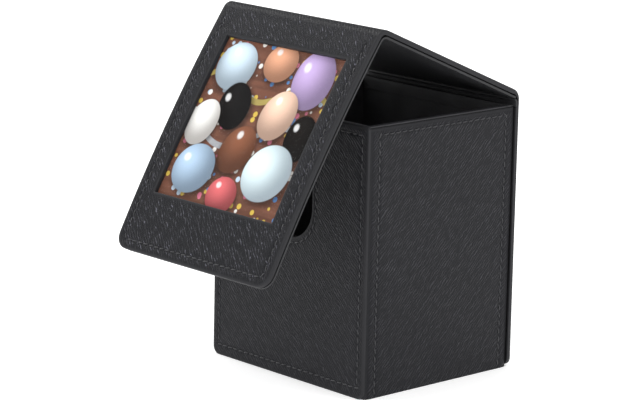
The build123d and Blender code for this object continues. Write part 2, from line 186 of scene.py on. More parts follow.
class StudioSettings(bpy.types.PropertyGroup):
    ambient: share("Ambient", "Light from all round", 1.0, 5.0)
    key: share("Key", "Power of the lamp at the upper left, in watts", 12.5, 100.0)
    front: share("Front", "Power of the large lamp in front, in watts", 8.0, 100.0)
    fill: share("Fill", "Power of the lamp at the right, in watts", 5.0, 100.0)
    ceiling: share("Ceiling", "How bright the room overhead looks in reflections", 0.3)
    glow: share("Glow", "How far the floor is lifted to white where it is looked at", 0.25)
    floor: colour("Floor", "Colour of the floor", (0.86, 0.86, 0.86))
    azimuth: turn("Azimuth", "Camera's bearing, round to the right", 47.426)
    elevation: turn("Elevation", "Camera's height above level", 12.461)
    roll: turn("Roll", "Camera's tilt about its own axis", 1.204)
    place: FloatVectorProperty(name="Place", description="Camera's place", size=3, unit="LENGTH",
                               default=(0.72694, -0.68941, 0.27998))
    lens: FloatProperty(name="Lens", description="Focal length", default=161.33, unit="CAMERA")


SETTINGS = {
    "leather": LeatherSettings,
    "thread": ThreadSettings,
    "cover": CoverSettings,
    "walls": WallSettings,
    "print": PrintSettings,
    "studio": StudioSettings,
}


def setting(group):
    """The scene's settings of one group."""
    return getattr(bpy.context.scene, f"print_box_{group}")


# ---------------------------------------------------------------- surfaces


class Flat:
    """The outer face of a flat panel: u runs across it, v along it, and h stands out from it."""

    def __init__(self, origin, across, along):
        self.origin = Vector(origin)
        self.across = Vector(across)
        self.along = Vector(along)
        self.outward = self.across.cross(self.along)

    def point(self, u, v, h):
        return self.origin + self.across * u + self.along * v + self.outward * h

    def local(self, point):
        offset = point - self.origin
        return offset.dot(self.across), offset.dot(self.along)

    def outward_at(self, u, v):
        return self.outward


class Bowed(Flat):
    """The flap's face, an arc between its two ends; v is measured down from the ridge corner."""

    def __init__(self, origin, across, along, span, bow):
        super().__init__(origin, across, along)
        self.half = span / 2
        self.radius = (self.half ** 2 + bow ** 2) / (2 * bow)
        self.centre = self.origin - self.along * self.half + self.outward * (bow - self.radius)

    def outward_at(self, u, v):
        angle = asin((self.half + v) / self.radius)
        return self.along * sin(angle) + self.outward * cos(angle)

    def point(self, u, v, h):
        return self.centre + self.across * u + self.outward_at(u, v) * (self.radius + h)

    def reached_from(self, point):
        """The v at which the bow's radius through a point meets the face."""
        offset = point - self.centre
        return self.radius * offset.dot(self.along) / offset.length - self.half


class Rolled:
    """A fold's outer face: v runs round it, from one outward direction to another."""

    def __init__(self, centre, radius, first, last):
        self.centre = centre
        self.radius = radius
        self.first = first.normalized()
        self.sweep = self.first.angle(last)
        self.axis = self.first.cross(last).normalized()
        self.span = radius * self.sweep

    def outward_at(self, u, v):
        return Matrix.Rotation(v / self.radius, 3, self.axis) @ self.first

    def point(self, u, v, h):
        return self.centre + Vector((u, 0, 0)) + self.outward_at(u, v) * (self.radius + h)


class Cover:
    """Where the lid, the flap and the two folds lie, from the hinge line and the cover's sizes."""

    def __init__(self):
        size = setting("cover")
        hinge_joint = next(joint for joint in frame["joints"] if joint["name"] == "lid_hinge")
        hinge = Vector(hinge_joint["pos_m"])
        across = Vector((1, 0, 0))
        backward = Vector((0, cos(size.lid_angle), -sin(size.lid_angle)))
        upward = Vector((0, sin(size.flap_lean), cos(size.flap_lean)))
        self.half_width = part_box("back_cover_leather")[1].x
        self.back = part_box("back_cover_leather")[1].y
        self.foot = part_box("back_cover_leather")[0].z
        self.fold_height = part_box("back_cover_leather")[1].z
        self.lid_outward = across.cross(backward)
        self.ridge = hinge - backward * size.lid_reach + self.lid_outward * size.lid_rise
        self.lid = Flat(self.ridge, across, backward)
        self.flap = Bowed(self.ridge, across, upward, size.flap_length, size.flap_bow)
        self.back_panel = Flat((0, self.back, 0), (-1, 0, 0), (0, 0, 1))

        outer = self.corner(0, 0, size.ridge_fold)
        inner = self.corner(size.lid_thickness, size.flap_thickness, size.ridge_lining)
        back_centre = Vector((0, self.back - size.back_fold, self.fold_height))
        self.back_fold = Rolled(back_centre, size.back_fold, Vector((0, 1, 0)), self.lid_outward)
        self.ridge_fold = Rolled(outer, size.ridge_fold, self.lid_outward, outer - self.flap.centre)
        lining_radius = size.ridge_lining + size.leather
        self.ridge_lining = Rolled(inner, lining_radius, self.lid_outward, inner - self.flap.centre)
        self.lid_start = self.lid.local(outer)[1]
        self.lid_end = self.lid.local(back_centre)[1]
        self.flap_start = self.flap.reached_from(outer)
        self.lid_lining_start = self.lid.local(inner)[1]
        self.lid_lining_end = size.lid_reach - size.lining_inset
        self.flap_lining_start = self.flap.reached_from(inner)

    def corner(self, lid_depth, flap_depth, radius):
        """Centre of a circle that touches the lid and the flap, each at a depth below its outer face."""
        foot = self.ridge - self.lid.outward * (lid_depth + radius)
        offset = self.flap.centre - foot
        along = offset.dot(self.lid.along)
        height = offset.dot(self.lid.outward)
        reach = self.flap.radius - flap_depth - radius
        return foot + self.lid.along * (along - sqrt(reach ** 2 - height ** 2))


# ---------------------------------------------------------------- threads of the seams


class Thread:
    """One stitch of the frame's rows: its middle and the way it lies."""

    def __init__(self, corners):
        self.middle = sum(corners, Vector()) / len(corners)
        ends = sorted(corners, key=lambda corner: (corner - corners[0]).length)
        near_end = sum(ends[:4], Vector()) / 4
        far_end = sum(ends[4:], Vector()) / 4
        self.along = (far_end - near_end).normalized()
        self.span = (ends[-1] - corners[0]).length


def threads_of(*nodes):
    """Every thread of the frame's rows of stitching, in their order."""
    found = []
    for node in nodes:
        rows = bmesh.new()
        rows.from_mesh(frame["nodes"][node].data)
        bmesh.ops.remove_doubles(rows, verts=rows.verts[:], dist=MERGE)
        seen = set()
        for vertex in rows.verts:
            if vertex in seen:
                continue
            island = [vertex]
            seen.add(vertex)
            for member in island:
                for edge in member.link_edges:
                    other = edge.other_vert(member)
                    if other not in seen:
                        seen.add(other)
                        island.append(other)
            found.append(Thread([member.co.copy() for member in island]))
        rows.free()
    return found


class Seams:
    """How near a place on a panel is to its rows of stitching."""

    SAMPLES = (-1.0, -0.5, 0.0, 0.5, 1.0)

    def __init__(self, surface, threads):
        self.lines_across = []
        self.lines_along = []
        self.tree = KDTree(len(threads) * len(self.SAMPLES))
        for index, thread in enumerate(threads):
            u, v = surface.local(thread.middle)
            ahead = surface.local(thread.middle + thread.along * thread.span / 2)
            half = (ahead[0] - u, ahead[1] - v)
            for place, step in enumerate(self.SAMPLES):
                self.tree.insert((u + half[0] * step, v + half[1] * step, 0),
                                 index * len(self.SAMPLES) + place)
            if abs(half[0]) < STRAIGHT * abs(half[1]):
                self.lines_across.append(u)
            if abs(half[1]) < STRAIGHT * abs(half[0]):
                self.lines_along.append(v)
        self.tree.balance()

    def distance(self, u, v):
        return self.tree.find((u, v, 0))[2]


# ---------------------------------------------------------------- leather panels


class Window:
    """A rectangular hole."""

    def __init__(self, u_low, u_high, v_low, v_high):
        self.u = (u_low, u_high)
        self.v = (v_low, v_high)

    def outside(self, u, v):
        return max(self.u[0] - u, u - self.u[1], self.v[0] - v, v - self.v[1])

    def bend(self, u, v):
        return u, v


class Notch:
    """A slot with a round foot, open at the top, that the panel's rows bend round."""

    def __init__(self, radius, height, reach):
        self.radius = radius
        self.height = height
        self.reach = reach
        self.u = (-radius, radius)
        self.v = (height - radius, height)

    def outside(self, u, v):
        return max(abs(u), self.height - v) - self.radius

    def bend(self, u, v):
        drop = self.height - v
        square = max(abs(u), drop)
        if drop <= 0 or square <= 0:
            return u, v
        ease = min(1.0, max(0.0, (self.radius + self.reach - square) / (self.reach / 2)))
        ease = ease * ease * (3 - 2 * ease)
        factor = 1 + ease * (square / hypot(u, drop) - 1)
        return u * factor, self.height - drop * factor


# Millimetres from an edge, and from a seam, at which a panel has rows
BESIDE_EDGE = (0.0, 0.04, 0.12, 0.25, 0.45, 0.75, 1.2, 1.8, 2.5)
BESIDE_SEAM = (-0.8, -0.45, -0.2, 0.0, 0.2, 0.45, 0.8)


def rows(span, cell, edges, seams):
    """Places of a panel's rows: even cells, with closer rows at its edges and seams."""
    low, high = span
    places = [low, high]
    for edge in edges:
        places += [edge + side * step * MM for step in BESIDE_EDGE for side in (-1, 1)]
    wanted = []
    for seam in sorted(seams):
        if not wanted or seam - wanted[-1] > SEAM_GAP:
            wanted.append(seam)
    for seam in wanted:
        places += [seam + step * MM for step in BESIDE_SEAM]
    count = round((high - low) / cell)
    for index in range(1, count):
        even = low + (high - low) * index / count
        if min(abs(even - place) for place in places) > cell / 3:
            places.append(even)
    kept = []
    for place in sorted(places):
        inside = low - 1e-9 <= place <= high + 1e-9
        if inside and (not kept or place - kept[-1] > ROW_GAP):
            kept.append(place)
    return kept


class Panel:
    """A sheet of leather in its own flat axes, shaped there and then laid on its surface."""

    def __init__(self, surface, u_span, v_span, thickness, free="left right low high", level=0.0,
                 facing=1, roll=None, ripple=True):
        leather = setting("leather")
        self.surface = surface
        self.u_span = u_span
        self.v_span = v_span
        self.thickness = thickness
        self.free = free.split()
        self.level = level
        self.facing = facing
        self.roll = roll or (leather.turned_roll, leather.turned_roll_depth)
        self.corners = []
        self.opening = None
        self.wall_depth = None
        self.seams = None
        self.ripple = leather.ripple if ripple else 0.0
        # Least worn share over the whole panel: it smooths the hatch and lifts the colour towards the edges'
        # painted highlight.
        self.rub_and_highlight = 0.0
        self.hem = lambda u, v: thickness
        self.flow = lambda u, v: (u, v)

    def round_corner(self, u_sign, v_sign, radius):
        """Round one of the outline's corners, named by its two signs."""
        u = self.u_span[1] - radius if u_sign > 0 else self.u_span[0] + radius
        v = self.v_span[1] - radius if v_sign > 0 else self.v_span[0] + radius
        self.corners.append((u, v, u_sign, v_sign))

    def outline_distance(self, u, v):
        """Distance in from the nearest free edge of the outline."""
        gaps = {
            "left": u - self.u_span[0],
            "right": self.u_span[1] - u,
            "low": v - self.v_span[0],
            "high": self.v_span[1] - v,
        }
        return min((gaps[side] for side in self.free), default=1.0)

    def edge_distance(self, u, v):
        """Distance in from the nearest free edge, the opening's too."""
        distance = self.outline_distance(u, v)
        return min(distance, max(0.0, self.opening.outside(u, v))) if self.opening else distance

    def height(self, distance, u, v, bent):
        """Height of the face over the panel's level."""
        leather = setting("leather")
        width, depth = self.roll
        height = 0.0
        if distance < width:
            height -= depth * (1 - sqrt(max(0.0, 1 - (1 - distance / width) ** 2)))
        if self.seams:
            near = self.seams.distance(*bent) / leather.furrow_width
            height -= leather.furrow_depth * exp(-near * near)
        place = Vector((u, v, self.surface.point(0, 0, 0).y)) / leather.ripple_size
        joined = min(v - self.v_span[0], self.v_span[1] - v)
        calm = min(1.0, distance / CALM_REACH, joined / CALM_REACH)
        return height + self.ripple * calm * noise.noise(place)

    def bend(self, u, v):
        """Move a place so that the square rows follow the rounded outline."""
        for centre_u, centre_v, u_sign, v_sign in self.corners:
            s = (u - centre_u) * u_sign
            t = (v - centre_v) * v_sign
            if s > 0 and t > 0:
                factor = max(s, t) / hypot(s, t)
                return centre_u + s * factor * u_sign, centre_v + t * factor * v_sign
        return self.opening.bend(u, v) if self.opening else (u, v)

    def lay_grid(self, shape, cell):
        """The flat sheet in u and v, with its opening cut out."""
        hole = self.opening
        places = []
        for span, sides, across, seams in (
            (self.u_span, ("left", "right"), hole.u if hole else (), "lines_across"),
            (self.v_span, ("low", "high"), hole.v if hole else (), "lines_along"),
        ):
            edges = [edge for side, edge in zip(sides, span) if side in self.free]
            places.append(rows(span, cell, edges + list(across), getattr(self.seams, seams, ())))
        us, vs = places
        bmesh.ops.create_grid(shape, x_segments=len(us) - 1, y_segments=len(vs) - 1, size=1.0)
        for vertex in shape.verts:
            column = round((vertex.co.x + 1) / 2 * (len(us) - 1))
            row = round((vertex.co.y + 1) / 2 * (len(vs) - 1))
            vertex.co = (us[column], vs[row], 0)
        if hole:
            cut = [face for face in shape.faces if hole.outside(*face.calc_center_median().xy) < 0]
            bmesh.ops.delete(shape, geom=cut, context="FACES")

    def double(self, shape, closed_below):
        """Double the sheet and join its edges; the points of the lower one are returned."""
        below = bmesh.ops.extrude_face_region(shape, geom=shape.faces[:], use_keep_orig=True)["geom"]
        under = [item for item in below if isinstance(item, bmesh.types.BMVert)]
        if closed_below:
            faces = [item for item in below if isinstance(item, bmesh.types.BMFace)]
            bmesh.ops.dissolve_faces(shape, faces=faces, use_verts=False)
        return {vertex for vertex in under if vertex.is_valid}

    def depth_below(self, u, v):
        """Depth of the lower sheet: more at a turned hem and at the wall of an opening."""
        if self.wall_depth and self.opening.outside(u, v) < WALL_REACH:
            return self.wall_depth
        turned = self.outline_distance(u, v) < setting("leather").hem
        return self.hem(u, v) if turned else self.thickness

    def build(self, name, cell=None, closed_below=True):
        """The finished mesh object, with its flat place and how worn it is kept as an attribute; the worn
        share also lays the painted highlight on its edges.
        """
        shape = bmesh.new()
        flat_place = shape.verts.layers.float_vector.new("surface")
        self.lay_grid(shape, cell or setting("leather").cell)
        under = self.double(shape, closed_below)
        for vertex in shape.verts:
            u, v = vertex.co.xy
            bent = self.bend(u, v)
            distance = self.edge_distance(u, v)
            height = -self.depth_below(u, v) if vertex in under else self.height(distance, u, v, bent)
            # Worn near the edges and on the folds; the same share lifts the colour there to the edges'
            # painted highlight.
            wear_and_highlight = max(self.rub_and_highlight, exp(-((distance / WEAR_AND_HIGHLIGHT_REACH) ** 2)))
            vertex[flat_place] = (*self.flow(*bent), wear_and_highlight)
            vertex.co = self.surface.point(*bent, self.level + self.facing * height)
        bmesh.ops.recalc_face_normals(shape, faces=shape.faces[:])
        return finish_mesh(shape, name)


def finish_mesh(shape, name, crease=38):
    """Turn a bmesh into a smooth-shaded object at the origin, sharp only where it turns a corner."""
    mesh = bpy.data.meshes.new(name)
    shape.to_mesh(mesh)
    shape.free()
    mesh.shade_smooth()
    mesh.set_sharp_from_angle(angle=radians(crease))
    piece = bpy.data.objects.new(name, mesh)
    bpy.context.scene.collection.objects.link(piece)
    return piece


def dress(piece, material, slot, *nodes, body=None):
    """Give a piece its material, hide the nodes that it stands for and, unless it bends, attach it to its
    body.
    """
    piece.data.materials.append(material)
    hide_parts(*nodes)
    if body:
        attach(piece, body)
    return piece


def softened_copy(node, name, rounding, cut_y=None, keep=0):
    """A copy of a frame node with its doubles merged and its hard edges rounded, cut across if asked."""
    shape = bmesh.new()
    shape.from_mesh(frame["nodes"][node].data)
    bmesh.ops.remove_doubles(shape, verts=shape.verts[:], dist=MERGE)
    bmesh.ops.dissolve_limit(shape, angle_limit=FLAT_EDGE, verts=shape.verts[:], edges=shape.edges[:])
    if cut_y is not None:
        whole = shape.verts[:] + shape.edges[:] + shape.faces[:]
        cut = bmesh.ops.bisect_plane(shape, geom=whole, dist=1e-6, plane_co=(0, cut_y, 0),
                                     plane_no=(0, 1, 0), clear_outer=keep < 0, clear_inner=keep > 0)
        rim = [item for item in cut["geom_cut"] if isinstance(item, bmesh.types.BMEdge)]
        bmesh.ops.holes_fill(shape, edges=rim)
        bmesh.ops.recalc_face_normals(shape, faces=shape.faces[:])
    hard = [edge for edge in shape.edges if edge.is_manifold and edge.calc_face_angle() > HARD_EDGE]
    bmesh.ops.bevel(shape, geom=hard, offset=rounding, affect="EDGES", segments=3, profile=0.5,
                    material=-1)
    return finish_mesh(shape, name)


# ---------------------------------------------------------------- materials


class NodeTree:
    """A node tree under construction, with short ways to add and join its nodes."""

    def __init__(self, tree):
        self.tree = tree
        tree.nodes.clear()

    def add(self, kind, **inputs):
        node = self.tree.nodes.new(kind)
        self.feed(node, **inputs)
        return node

    def feed(self, node, **inputs):
        """Set or join inputs by their names, spaces written as underscores, or by their numbers."""
        for key, value in inputs.items():
            socket = node.inputs[int(key[1:])] if key[1:].isdigit() else node.inputs[key.replace("_", " ")]
            if isinstance(value, bpy.types.NodeSocket):
                self.tree.links.new(value, socket)
            else:
                socket.default_value = value

    def math(self, operation, first, second=0.0, third=0.0):
        node = self.add("ShaderNodeMath", _0=first, _1=second, _2=third)
        node.operation = operation
        return node.outputs[0]

    def vector(self, operation, first, second=(0, 0, 0)):
        node = self.add("ShaderNodeVectorMath", _0=first, _1=second)
        node.operation = operation
        return node.outputs["Value" if operation in ("LENGTH", "DISTANCE", "DOT_PRODUCT") else "Vector"]

    def mapped(self, vector, rotation=(0, 0, 0), scale=(1, 1, 1), location=(0, 0, 0)):
        node = self.add("ShaderNodeMapping", Vector=vector, Rotation=rotation, Scale=scale,
                        Location=location)
        return node.outputs[0]

    def noise(self, vector, scale, detail=2.0, roughness=0.5):
        node = self.add("ShaderNodeTexNoise", Vector=vector, Scale=scale, Detail=detail,
                        Roughness=roughness)
        return node.outputs["Fac"]

    def spread(self, value, low, high, to_low=0.0, to_high=1.0, smooth=False):
        node = self.add("ShaderNodeMapRange", _0=value, _1=low, _2=high, _3=to_low, _4=to_high)
        if smooth:
            node.interpolation_type = "SMOOTHSTEP"
        return node.outputs[0]

    def mix(self, factor, first, second):
        node = self.tree.nodes.new("ShaderNodeMix")
        node.data_type = "RGBA"
        for socket, value in ((node.inputs[0], factor), (node.inputs[6], first), (node.inputs[7], second)):
            if isinstance(value, bpy.types.NodeSocket):
                self.tree.links.new(value, socket)
            else:
                socket.default_value = value
        return node.outputs[2]

    def seen_directly(self):
        """1 for rays from the camera, and for reflections and glass, so that they show the background."""
        path = self.add("ShaderNodeLightPath")
        mirrored = self.math("MAXIMUM", path.outputs["Is Glossy Ray"], path.outputs["Is Transmission Ray"])
        return self.math("MAXIMUM", path.outputs["Is Camera Ray"], mirrored)


class Shader(NodeTree):
    """A material under construction."""

    def __init__(self, name):
        self.material = bpy.data.materials.new(name)
        self.material.use_nodes = True
        super().__init__(self.material.node_tree)
        self.finish = self.add("ShaderNodeBsdfPrincipled")
        self.add("ShaderNodeOutputMaterial", Surface=self.finish.outputs[0])

    def flat_place(self):
        """Place on the leather in millimetres, and how worn it is there, which also sets the painted
        highlight of its edges.
        """
        attribute = self.tree.nodes.new("ShaderNodeAttribute")
        attribute.attribute_name = "surface"
        split = self.add("ShaderNodeSeparateXYZ", Vector=attribute.outputs["Vector"])
        place = self.add("ShaderNodeCombineXYZ", X=split.outputs[0], Y=split.outputs[1])
        scaled = self.mapped(place.outputs[0], scale=(1 / MM, 1 / MM, 1))
        return scaled, split.outputs[2]

    def object_place(self):
        """Place in the object's own axes, in millimetres."""
        coordinates = self.tree.nodes.new("ShaderNodeTexCoord")
        return self.mapped(coordinates.outputs["Object"], scale=(1 / MM,) * 3)

    def bump(self, height, depth, strength=1.0):
        node = self.add("ShaderNodeBump", Height=height, Strength=strength, Distance=depth)
        self.feed(self.finish, Normal=node.outputs[0])


def rgba(value):
    """A colour with full opacity."""
    return (*value, 1.0)


def tinted(value, factor):
    """A colour made lighter or darker by a factor, with full opacity."""
    return rgba(min(1.0, channel * factor) for channel in value)


def hatch_lines(shader, place, angle, pitch, wander):
    """One set of the hatch's lines, broken into dashes: 1 on a line's crest, 0 between lines."""
    turned = shader.mapped(place, rotation=(0, 0, angle))
    drift = shader.math("MULTIPLY", shader.noise(place, 0.42, 3.0), wander)
    split = shader.add("ShaderNodeSeparateXYZ", Vector=turned)
    across = shader.math("ADD", split.outputs[0], drift)
    wave = shader.math("SINE", shader.math("MULTIPLY", across, 2 * pi / pitch))
    crest = shader.spread(wave, -0.75, 0.9)
    stretched = shader.mapped(turned, scale=(0.95, 0.24, 1), location=(wander, pitch, 0))
    dashes = shader.noise(stretched, 1.0, 1.0)
    return shader.math("MULTIPLY", crest, shader.spread(dashes, 0.36, 0.6, 0.3, 1.0))


def saffiano(name, angle=135.0, rubbed_and_glinting=1.0):
    """Cross-hatch embossed leather: long lines one way, shorter and fainter ones across them, with lighter
    crests and painted glint specks.
    """
    leather = setting("leather")
    shader = Shader(name)
    place, wear_and_highlight = shader.flat_place()
    turn_angle = radians(angle)
    long_lines = hatch_lines(shader, place, turn_angle, leather.pitch / MM, 2.0)
    cross_lines = hatch_lines(shader, place, turn_angle + radians(86), leather.cross_pitch / MM, 2.3)
    hatch = shader.math("MAXIMUM", long_lines, shader.math("MULTIPLY", cross_lines, 0.5))
    grain = shader.noise(place, 5.5, 2.0)
    worn = shader.spread(wear_and_highlight, 0.05, 0.8, 1.0, 0.12)
    relief = shader.math("MULTIPLY", hatch, worn)
    height = shader.math("ADD", relief, shader.math("MULTIPLY", grain, 0.12))
    patches = shader.noise(place, 0.055, 2.0)
    # Bright specks on the crests, six times the crest colour, are painted glints; the saffiano's last
    # argument sets how strong they are.
    glint_flecks = shader.noise(place, 0.9, 1.0)
    # Crests lighter than the furrows: worn leather, and painted light on the crests with painted shade in the
    # furrows.
    rub_and_highlight = shader.math("MULTIPLY", shader.spread(relief, 0.45, 1.0),
                      shader.spread(patches, 0.3, 0.7, 0.5, 1.0))
    body_colour = shader.mix(rub_and_highlight, rgba(leather.tint), rgba(leather.crest))
    bright = shader.math("MULTIPLY", shader.spread(relief, 0.6, 1.0),
                         shader.spread(glint_flecks, 0.5, 0.68, 0.0, rubbed_and_glinting))
    with_painted_glints = shader.mix(bright, body_colour, tinted(leather.crest, 6.0))
    # Near the edges and on the folds the colour goes to the edge colour, partly a painted highlight.
    whole = shader.mix(shader.spread(wear_and_highlight, 0.3, 1.0), with_painted_glints, rgba(leather.edge))
    gloss = shader.spread(relief, 0.0, 1.0, 0.6, 0.34)
    shader.feed(shader.finish, Base_Color=whole, Roughness=gloss, Specular_IOR_Level=0.21)
    shader.bump(height, leather.relief)
    return shader.material


def smooth_leather(name, tint, roughness=0.46):
    """Plain black leather of the turned and inner faces, with a fine pebble grain."""
    shader = Shader(name)
    place = shader.object_place()
    pores = shader.add("ShaderNodeTexVoronoi", Vector=place, Scale=1.9)
    grain = shader.noise(place, 4.0, 3.0)
    cloud = shader.noise(place, 0.08, 2.0)
    height = shader.math("ADD", shader.math("MULTIPLY", pores.outputs["Distance"], 0.5), grain)
    tone = shader.spread(cloud, 0.3, 0.7)
    shader.feed(shader.finish, Base_Color=shader.mix(tone, rgba(tint), tinted(tint, 1.5)),
                Specular_IOR_Level=0.26,
                Roughness=shader.spread(grain, 0.3, 0.7, roughness - 0.06, roughness + 0.08))
    shader.bump(height, 0.035 * MM)
    return shader.material


def card(name, tint, speck):
    """Pressed board: fibres and specks."""
    shader = Shader(name)
    place = shader.object_place()
    fibres = shader.noise(shader.mapped(place, scale=(0.6, 2.4, 0.9)), 1.0, 4.0, 0.65)
    specks = shader.noise(place, 3.2, 1.0)
    tone = shader.mix(shader.spread(fibres, 0.3, 0.7), rgba(tint), rgba(speck))
    shader.feed(shader.finish, Base_Color=tone, Specular_IOR_Level=0.2,
                Roughness=shader.spread(specks, 0.3, 0.7, 0.82, 0.95))
    shader.bump(fibres, 0.04 * MM)
    return shader.material


def sewing_thread(name):
    """Twisted polyester thread, with a little shine on its plies."""
    shader = Shader(name)
    place, ply = shader.flat_place()
    split = shader.add("ShaderNodeSeparateXYZ", Vector=place)
    spiral = shader.math("ADD", shader.math("MULTIPLY", ply, 2 * pi * 2),
                         shader.math("MULTIPLY", split.outputs[1], 2 * pi / 0.8))
    twist = shader.math("SINE", spiral)
    tint = setting("thread").tint
    # Darker in the grooves of the twist: painted shade between the plies.
    tone = shader.mix(shader.spread(twist, -0.6, 0.8), tinted(tint, 0.45), rgba(tint))
    shader.feed(shader.finish, Base_Color=tone, Specular_IOR_Level=0.5,
                Roughness=shader.spread(twist, -1.0, 1.0, 0.5, 0.32))
    shader.bump(twist, 0.05 * MM)
    return shader.material


def plain_steel(name):
    """Ground steel of the catch's hidden discs."""
    shader = Shader(name)
    place = shader.object_place()
    scratches = shader.noise(shader.mapped(place, scale=(0.4, 6.0, 6.0)), 1.0, 3.0)
    shader.feed(shader.finish, Metallic=1.0,
                Base_Color=shader.mix(scratches, rgba((0.42, 0.42, 0.43)), rgba((0.6, 0.6, 0.6))),
                Roughness=shader.spread(scratches, 0.3, 0.7, 0.25, 0.42))
    return shader.material


def clear_film(name):
    """Clear film in the window, with faint smears."""
    shader = Shader(name)
    place = shader.object_place()
    smears = shader.noise(place, 0.09, 3.0)
    shader.feed(shader.finish, Base_Color=(0.95, 0.96, 0.97, 1.0), IOR=1.45,
                Alpha=shader.spread(smears, 0.3, 0.7, 0.002, 0.006),
                Roughness=shader.spread(smears, 0.3, 0.7, 0.06, 0.12))
    return shader.material


# Balloons on the print: centre and half sizes in shares of the picture, tilt in degrees, and colour
BALLOONS = (
    (0.80, 0.84, 0.155, 0.185, -14, (0.50, 0.37, 0.64)),
    (0.17, 0.83, 0.160, 0.150, 20, (0.62, 0.76, 0.88)),
    (0.50, 0.90, 0.130, 0.120, 8, (0.72, 0.36, 0.22)),
    (0.30, 0.60, 0.125, 0.150, -24, (0.004, 0.003, 0.003)),
    (0.66, 0.60, 0.135, 0.155, 16, (0.86, 0.58, 0.44)),
    (0.90, 0.50, 0.115, 0.140, -8, (0.006, 0.004, 0.003)),
    (0.11, 0.47, 0.120, 0.145, 12, (0.92, 0.88, 0.84)),
    (0.47, 0.36, 0.130, 0.150, 26, (0.22, 0.085, 0.045)),
    (0.77, 0.27, 0.185, 0.170, -18, (0.70, 0.84, 0.93)),
    (0.20, 0.20, 0.165, 0.150, -10, (0.40, 0.54, 0.70)),
    (0.50, 0.09, 0.120, 0.110, 4, (0.62, 0.13, 0.14)),
)
CONFETTI = ((0.0, (0.80, 0.78, 0.74)), (0.28, (0.62, 0.44, 0.08)), (0.48, (0.10, 0.24, 0.50)),
            (0.66, (0.60, 0.16, 0.24)), (0.84, (0.50, 0.62, 0.74)))


def scatter_confetti(shader, picture, ground):
    """Small round paper dots strewn over the ground."""
    cells = shader.add("ShaderNodeTexVoronoi", Vector=picture, Scale=17.0, Randomness=1.0)
    palette = shader.add("ShaderNodeValToRGB", Fac=shader.add(
        "ShaderNodeSeparateXYZ", Vector=cells.outputs["Color"]).outputs[0])
    palette.color_ramp.interpolation = "CONSTANT"
    steps = palette.color_ramp.elements
    steps.remove(steps[1])
    for index, (start, tint) in enumerate(CONFETTI):
        step = steps[0] if index == 0 else steps.new(start)
        step.color = rgba(tint)
    dot = shader.spread(cells.outputs["Distance"], 0.26, 0.31, 1.0, 0.0)
    return shader.mix(dot, ground, palette.outputs[0])


def lay_streamer(shader, split, below, height, swing, waves, phase, tint):
    """A paper streamer that waves across the picture."""
    wave = shader.math("SINE", shader.math("MULTIPLY_ADD", split.outputs[0], waves, phase))
    middle = shader.math("MULTIPLY_ADD", wave, swing, height)
    off = shader.math("ABSOLUTE", shader.math("SUBTRACT", split.outputs[1], middle))
    shade = shader.mix(shader.spread(wave, -1.0, 1.0), tinted(tint, 0.55), rgba(tint))
    return shader.mix(shader.spread(off, 0.016, 0.02, 1.0, 0.0), below, shade)


def blow_balloon(shader, picture, below, balloon):
    """A balloon over what lies below it: a soft shadow, a shaded ball and its highlight."""
    x, y, width, height, tilt, tint = balloon
    offset = shader.mapped(shader.vector("SUBTRACT", picture, (x, y, 0)), rotation=(0, 0, radians(tilt)))
    ball = shader.mapped(offset, scale=(1 / width, 1 / height, 0))
    radius = shader.vector("LENGTH", ball)
    shadow = shader.spread(shader.vector("DISTANCE", ball, (0.10, -0.14, 0)), 0.85, 1.25, 0.65, 0.0, True)
    lit = shader.spread(shader.vector("DISTANCE", ball, (-0.35, 0.4, 0)), 0.0, 1.35, 1.0, 0.0, True)
    glint = shader.spread(shader.vector("DISTANCE", ball, (-0.42, 0.46, 0)), 0.10, 0.22, 0.75, 0.0, True)
    shaded = shader.mix(lit, tinted(tint, 0.42), tinted(tint, 1.15))
    skin = shader.mix(glint, shaded, (0.86, 0.86, 0.86, 1.0))
    cover = shader.spread(radius, 0.965, 1.0, 1.0, 0.0)
    return shader.mix(cover, shader.mix(shadow, below, (0.006, 0.004, 0.003, 1.0)), skin)


def party_picture(name):
    """A glossy instant print: balloons, streamers and confetti on a warm wooden table."""
    card_size = setting("print")
    shader = Shader(name)
    place = shader.flat_place()[0]
    half = card_size.image / 2 / MM
    picture = shader.mapped(place, scale=(0.5 / half, 0.5 / half, 0), location=(0.5, 0.5, 0))
    split = shader.add("ShaderNodeSeparateXYZ", Vector=picture)
    boards = shader.noise(shader.mapped(picture, scale=(2.2, 22.0, 1)), 1.0, 4.0)
    ground = card_size.ground
    layer = shader.mix(shader.spread(boards, 0.3, 0.7), tinted(ground, 0.55), rgba(ground))
    layer = scatter_confetti(shader, picture, layer)
    layer = lay_streamer(shader, split, layer, 0.72, 0.07, 9.0, 0.6, (0.66, 0.52, 0.16))
    layer = lay_streamer(shader, split, layer, 0.45, 0.09, 7.0, 2.4, (0.60, 0.62, 0.66))
    for balloon in BALLOONS:
        layer = blow_balloon(shader, picture, layer, balloon)
    off_x = shader.math("ABSOLUTE", shader.math("SUBTRACT", split.outputs[0], 0.5))
    off_y = shader.math("ABSOLUTE", shader.math("SUBTRACT", split.outputs[1], 0.5))
    border = shader.spread(shader.math("MAXIMUM", off_x, off_y), 0.4995, 0.5005)
    sheet_grain = shader.noise(place, 1.2, 2.0)
    shader.feed(shader.finish, Base_Color=shader.mix(border, layer, rgba(card_size.paper)),
                Roughness=shader.spread(sheet_grain, 0.3, 0.7, 0.34, 0.42), Specular_IOR_Level=0.05)
    shader.bump(sheet_grain, 0.01 * MM)
    return shader.material


